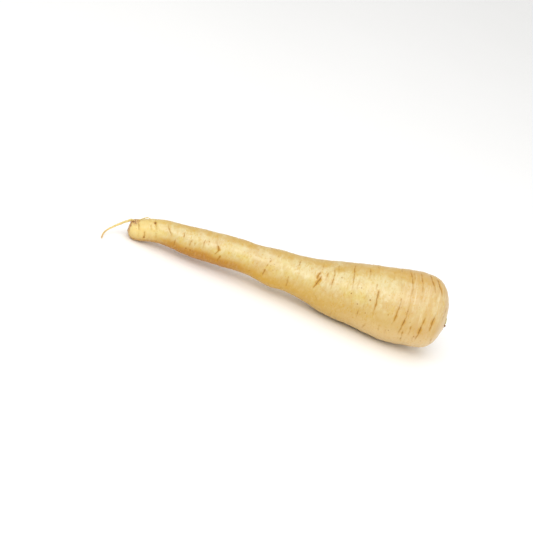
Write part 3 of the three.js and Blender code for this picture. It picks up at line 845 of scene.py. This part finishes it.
class Skin(Finish):
    """The skin's material, with the places and noises that its colours follow."""

    def __init__(self):
        super().__init__("parsnip_skin", specular=0.36, glow=0.15, glow_depth=1.6)
        self.shader.inputs["Coat Weight"].default_value = 0.22
        self.shader.inputs["Coat Roughness"].default_value = 0.22
        self.place = self.attribute("section", "Vector")
        self.distance = self.node("ShaderNodeSeparateXYZ", {0: self.place}, "X")
        self.height, self.near, self.offset = (self.attribute(name) for name in ("height", "near", "offset"))
        self.past_rim, self.past_tail = self.attribute("past_rim"), self.attribute("past_tail")
        self.streak = self.noise(self.drawn(0.32), 2.6)
        self.broad = self.noise(self.place, 22.0, detail=2.0, seed=5.0)
        self.cloudy = self.noise(self.place, 9.0, seed=7.0)
        self.patch = self.noise(self.place, 4.2, seed=11.0)
        self.grain = self.noise(self.place, 0.9, seed=9.0)
        self.low_side = self.stray(self.height, self.cloudy, 0.5)

    def drawn(self, share):
        """The place with what lies round the root squeezed, so that a noise is drawn out round it."""
        return self.stretch(self.place, (1.0, share, share))


def cream_ground(f):
    """Clouds and streaks of cream, tan, yellow and pale, and a painted highlight: a paler band along the
    upper side that faces the light.
    """
    cream = f.times(f.math("ADD", f.streak, f.cloudy), 0.5)
    f.ground(f.step(cream, 0.40, 0.60), CREAM, DEEP_CREAM)
    f.over(f.step(f.broad, 0.48, 0.66, 0, 0.5), TAN)
    yellow = f.times(f.step(f.cloudy, 0.48, 0.66, 0, 0.5), f.step(f.distance, 130, 60, 1.0, 1.5))
    f.over(yellow, YELLOW)
    f.over(f.step(f.patch, 0.48, 0.70, 0, 0.5), PALE)
    # Painted highlight: a pale band along the upper side, where the light falls.
    painted_highlight_band = f.times(f.step(f.height, 0.35, 0.65), f.step(f.height, 0.97, 0.85))
    f.over(f.times(painted_highlight_band, f.step(f.cloudy, 0.30, 0.60, 0.10, 0.36)), PALE)


def painted_shade_sides(f):
    """Painted shade: the low side and the very top, which face away from the light, are tinted golden and
    darker, deepest under the neck.
    """
    # Painted shade on the low side and the very top.
    turned = f.math("MAXIMUM", f.step(f.low_side, 0.48, -0.10), f.step(f.low_side, 0.86, 1.02))
    f.over(f.times(turned, f.step(f.distance, 0, 45, 0.45, 0.85)), RING_AND_SHADE_GOLD)
    # Painted shade: gold on the low side, strongest along the tail half.
    golden = f.times(f.step(f.distance, 195, 90, 0.05, 0.85), f.step(f.distance, 10, 40, 0.25, 1.0))
    f.over(f.times(f.step(f.low_side, 0.12, -0.45), golden), GOLD)
    # Painted shade: deeper gold on the low side between the tail and the middle.
    deep = f.times(f.step(f.distance, 110, 70, 0, 0.95), f.step(f.distance, 14, 45))
    f.over(f.times(f.step(f.low_side, 0.10, -0.35), deep), SHADE_GOLD)
    # Painted shade: a deep gold band along the underside of the tail.
    under = f.times(f.step(f.height, -0.40, -0.66, 0, 0.85), f.step(f.distance, 70, 30))
    f.over(under, SHADE_GOLD)
    # Painted shade: gold along the very top, strongest towards the shoulder.
    top = f.times(f.step(f.height, 0.88, 1.0, 0, 0.60), f.step(f.distance, 160, 200, 0.2, 1.0))
    f.over(top, GOLD)


def small_marks(f):
    """Mottling, the shoulder's tan with its fine rings, golden dashes, painted light that makes the low edge
    towards the shoulder paler, and the pale tail, paler still on its upper side as a painted highlight.
    """
    mottle = f.noise(f.drawn(0.6), 2.2, detail=2.0, seed=25.0)
    f.over(f.step(mottle, 0.46, 0.66, 0, 0.18), STAIN)
    f.over(f.step(mottle, 0.48, 0.34, 0, 0.10), PALE)
    shoulder = f.step(f.distance, 190, 232)
    f.over(f.times(shoulder, f.step(f.streak, 0.40, 0.60, 0.35, 0.75)), TAN)
    # Painted light: the low edge towards the shoulder is made paler, as if lit from below.
    lit_low_edge = f.times(f.step(f.height, -0.05, -0.50, 0, 0.45), f.step(f.distance, 150, 198))
    f.over(lit_low_edge, CUT_AND_LIGHT_PALE)
    fine_rings = f.noise(f.drawn(0.06), 1.5, detail=1.0, seed=3.0)
    lined = f.times(f.times(shoulder, f.step(f.past_rim, -9, -22)), f.step(f.height, -0.1, 0.4, 0.3, 1))
    f.over(f.times(lined, f.step(fine_rings, 0.52, 0.64, 0, 0.45)), PALE)
    f.over(f.times(lined, f.step(fine_rings, 0.46, 0.36, 0, 0.35)), RING_AND_SHADE_GOLD)
    dashes = f.step(f.noise(f.drawn(0.5), 1.0, detail=2.0, seed=21.0), 0.50, 0.66)
    f.over(f.times(dashes, f.step(f.patch, 0.60, 0.40, 0.10, 0.55)), GOLD)
    # A paler tail end, the tail's own colour, laid on more strongly on its upper side as a painted highlight.
    pale_tip_and_highlight = f.times(f.step(f.distance, 36, 6), f.step(f.low_side, -0.6, 0.2, 0.2, 0.75))
    f.over(pale_tip_and_highlight, PALE_TIP)


def stained_creases(f):
    """A golden stain round each crease, a darker line in it and a brown core where it is deepest."""
    patchy = f.step(f.cloudy, 0.34, 0.60, 0.6, 1.0)
    f.over(f.times(f.step(f.near, 0.0, 0.55, 0, 0.80), patchy), STAIN)
    away = f.stray(f.math("ABSOLUTE", f.offset), f.grain, 0.6)
    line = f.times(f.step(away, 0.65, 0.05), f.step(f.near, 0.03, 0.5, 0.0, 0.65))
    f.over(line, f.mix(f.step(f.distance, 20, 40), TAIL_GOLD, CREASE_GOLD))
    broken = f.step(f.noise(f.place, 1.9, detail=2.0, seed=13.0), 0.38, 0.60, 0.15, 1.0)
    dark = f.times(f.step(away, 0.50, 0.05), f.step(f.near, 0.45, 0.85, 0, 0.85))
    f.over(f.times(dark, broken), CREASE_BROWN)


def specks(f):
    """The listed specks, each with a golden rim and a brown middle, and small ones scattered between."""
    halo = core = 0.0
    for distance, degrees, size, dark in SPECKS:
        radius = follow(OUTLINE, 1, np.array(float(min(distance, SHOULDER_START))))
        if distance > SHOULDER_START:
            radius = follow(SHOULDER, 1, np.array(distance - SHOULDER_START))
        angle = math.radians(degrees)
        centre = (distance, float(radius) * math.cos(angle), float(radius) * math.sin(angle))
        away = f.node("ShaderNodeVectorMath", {0: f.place, 1: centre}, "Value", operation="DISTANCE")
        halo = f.math("MAXIMUM", f.step(away, size * 2.2, size * 0.6, 0.0, 0.6 * dark), halo)
        core = f.math("MAXIMUM", f.step(away, size * 1.3, size * 0.5, 0.0, dark), core)
    f.over(halo, SPECK_GOLD)
    f.over(core, SPECK_BROWN)
    cells = {"Vector": f.drawn(0.6), "Scale": 1 / SPECK_SPACING, "Randomness": 1.0}
    scattered = f.node("ShaderNodeTexVoronoi", cells, "Distance")
    thinned = f.times(f.step(scattered, 0.17, 0.05), f.step(f.broad, 0.40, 0.60, 0, 0.7))
    f.over(thinned, SPECK_GOLD)


def both_ends(f):
    """The stained tail end with its cut face, and the pit that darkens to black."""
    near_cut = f.stray(f.past_tail, f.noise(f.place, 2.0, seed=15.0), 3.6)
    tip = f.step(near_cut, -2.2, -0.7)
    top_of_tip = f.times(f.step(near_cut, -8.0, -3.0), f.step(f.height, 0.55, 0.90))
    stained = f.times(f.math("MAXIMUM", tip, top_of_tip), f.step(f.grain, 0.36, 0.56, 0.35, 1.0))
    tip_colour = f.mix(f.step(f.noise(f.place, 1.1, seed=17.0), 0.42, 0.58), TAIL_BROWN, CUT_PURPLE)
    f.over(stained, tip_colour)
    face = f.mix(f.step(f.past_tail, 0.5, 1.9), CUT_PURPLE, CUT_AND_LIGHT_PALE)
    face = f.mix(f.step(f.grain, 0.50, 0.62, 0, 0.8), face, CUT_PURPLE)
    f.over(f.step(f.past_tail, -0.5, 0.3), face)
    f.over(f.step(f.stray(f.past_rim, f.cloudy, 4.0), -3.6, -0.3, 0, 0.75), PIT_TAN)
    inwards = f.stray(f.past_rim, f.grain, 1.6)
    f.over(f.step(inwards, -0.3, 0.9), PIT_BROWN)
    f.over(f.step(inwards, 0.7, 2.4), PIT_BLACK)


def skin_finish():
    f = Skin()
    for lay in (cream_ground, painted_shade_sides, small_marks, stained_creases, specks, both_ends):
        lay(f)
    f.put("Base Color", f.colour)
    in_crease = f.step(f.near, 0.1, 0.8, 0.0, 0.2)
    f.put("Roughness", f.math("ADD", in_crease, f.step(f.cloudy, 0.3, 0.7, 0.30, 0.44)))
    f.bump(f.math("ADD", f.times(f.streak, 0.5), f.times(f.grain, 0.5)), 0.40, 0.20)
    return f.material


def rootlet_finish():
    f = Finish("parsnip_rootlet", glow=0.15)
    place, share = f.attribute("section", "Vector"), f.attribute("share")
    f.ground(f.step(f.noise(place, 1.6), 0.40, 0.66), PALE_TIP, DEEP_CREAM)
    f.over(f.step(share, 0.18, 0.02, 0, 0.6), TAIL_BROWN)
    f.over(f.step(share, 0.60, 1.0, 0, 0.6), TAIL_BROWN)
    strand = f.mix(f.step(f.noise(place, 0.9), 0.45, 0.6), TAIL_BROWN, CUT_AND_LIGHT_PALE)
    f.over(f.attribute("brown"), strand)
    f.put("Base Color", f.colour)
    f.bump(f.noise(place, 0.5), 0.5, 0.1)
    return f.material


def crown_finish():
    f = Finish("parsnip_crown", specular=0.25)
    place, share = f.attribute("section", "Vector"), f.attribute("share")
    husk, out = f.attribute("husk"), f.attribute("out")
    grain, patch = f.noise(place, 0.6, detail=4.0), f.noise(place, 2.4, seed=4.0)
    f.ground(f.step(grain, 0.35, 0.65), CORK_DARK, CORK)
    f.over(f.step(patch, 0.48, 0.66, 0, 0.8), HUSK)
    f.over(f.step(share, 0.66, 0.40), CORK_DARK)
    heart = f.times(f.step(out, 4.0, 1.5), f.step(grain, 0.35, 0.6, 0.4, 0.9))
    f.over(heart, CORK_HEART)
    f.over(f.step(out, 8.6, 9.1), PIT_BLACK)
    dry = f.mix(f.step(grain, 0.30, 0.60), HUSK_DARK, HUSK)
    dry = f.mix(f.step(husk, 0.9, 0.3), dry, CORK)
    f.over(f.step(husk, 0.1, 0.3), dry)
    f.put("Base Color", f.colour)
    f.put("Roughness", f.step(grain, 0.3, 0.7, 0.72, 0.95))
    f.bump(grain, 0.7, 0.3)
    return f.material


def stalk_finish():
    f = Finish("parsnip_leaf_stalk", specular=0.35, glow=0.05)
    place, share = f.attribute("section", "Vector"), f.attribute("share")
    ribs = f.noise(f.stretch(place, (0.2, 1.0, 1.0)), 0.5, detail=2.0)
    along = f.stray(f.attribute("along"), ribs, 0.3)
    f.ground(f.step(ribs, 0.38, 0.62), STALK_GREEN, STALK_PALE)
    f.over(f.step(along, 0.86, 0.58, 0, 0.75), STALK_PALE)
    f.over(f.step(f.noise(place, 1.5, seed=2.0), 0.54, 0.68, 0, 0.6), STALK_BROWN)
    f.over(f.step(along, 0.34, 0.16, 0, 0.9), STALK_BROWN)
    f.over(f.step(share, 0.35, 0.0, 0, 0.8), STALK_BROWN)
    f.put("Base Color", f.colour)
    f.bump(ribs, 0.5, 0.2)
    return f.material


def finish(piece, material, node=None):
    """Gives a piece its material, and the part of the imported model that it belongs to."""
    piece.data.materials.append(material)
    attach(piece, "root")
    if node:
        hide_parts(node)


# The floor, the light and the camera
def build_floor():
    """A wide white floor, a hair below the part."""
    half, low = 4.0, -0.00002
    mesh = bpy.data.meshes.new("floor")
    corners = [(-half, -half, low), (half, -half, low), (half, half, low), (-half, half, low)]
    mesh.from_pydata(corners, [], [(0, 1, 2, 3)])
    floor = bpy.data.objects.new("floor", mesh)
    bpy.context.scene.collection.objects.link(floor)
    f = Finish("floor", 0.75, specular=0.2)
    place = f.node("ShaderNodeTexCoord", {}, "Object")
    f.put("Base Color", f.mix(f.noise(place, 0.35), FLOOR_WHITE, WHITE))
    mesh.materials.append(f.material)


def soft_light(name, place, size, power):
    """A soft white panel that faces the middle of the root."""
    data = bpy.data.lights.new(name, "AREA")
    data.shape = "RECTANGLE"
    data.size, data.size_y = size
    data.energy = power
    made = bpy.data.objects.new(name, data)
    bpy.context.scene.collection.objects.link(made)
    middle = Vector((0, 0, 0.03))
    made.location = place
    made.rotation_euler = (middle - Vector(place)).to_track_quat("-Z", "Y").to_euler()


def build_light():
    """An even white sky and three soft panels: their places in metres, their sizes and their watts."""
    scene = bpy.context.scene
    world = bpy.data.worlds.new("studio")
    world.use_nodes = True
    background = world.node_tree.nodes["Background"]
    background.inputs["Color"].default_value = (1.0, 0.995, 0.985, 1.0)
    background.inputs["Strength"].default_value = 0.80
    scene.world = world
    scene.view_settings.view_transform = "Standard"
    soft_light("main_light", (-0.30, -0.80, 0.90), (0.9, 0.6), 5.5)
    soft_light("side_light", (0.95, -0.65, 0.55), (0.7, 0.7), 1.4)
    soft_light("top_light", (0.1, -0.15, 1.25), (1.2, 0.8), 2.9)


def build_camera():
    """The photograph's view of the root, with the camera rolled to show it aslant."""
    ahead = Vector((
        math.sin(CAMERA_TURN) * math.cos(CAMERA_HEIGHT),
        math.cos(CAMERA_TURN) * math.cos(CAMERA_HEIGHT),
        -math.sin(CAMERA_HEIGHT),
    ))
    right = Vector((math.cos(CAMERA_TURN), -math.sin(CAMERA_TURN), 0))
    up = right.cross(ahead)
    rolled_right = right * math.cos(CAMERA_ROLL) + up * math.sin(CAMERA_ROLL)
    rolled_up = up * math.cos(CAMERA_ROLL) - right * math.sin(CAMERA_ROLL)
    turn = Matrix((rolled_right, rolled_up, -ahead)).transposed().to_4x4()
    aim = Vector((np.array(AIM) + SHIFT) * MM)
    data = bpy.data.cameras.new("camera")
    data.lens = LENS
    camera = bpy.data.objects.new("camera", data)
    bpy.context.scene.collection.objects.link(camera)
    camera.matrix_world = Matrix.Translation(aim - ahead * CAMERA_DISTANCE * MM) @ turn
    bpy.context.scene.camera = camera


build_camera()
build_light()
build_floor()
finish(build_skin(), skin_finish(), "root")
finish(build_rootlet(), rootlet_finish())
finish(build_crown(), crown_finish(), "crown")
finish(build_stalk(), stalk_finish(), "leaf_stalk")

bpy.context.view_layer.update()
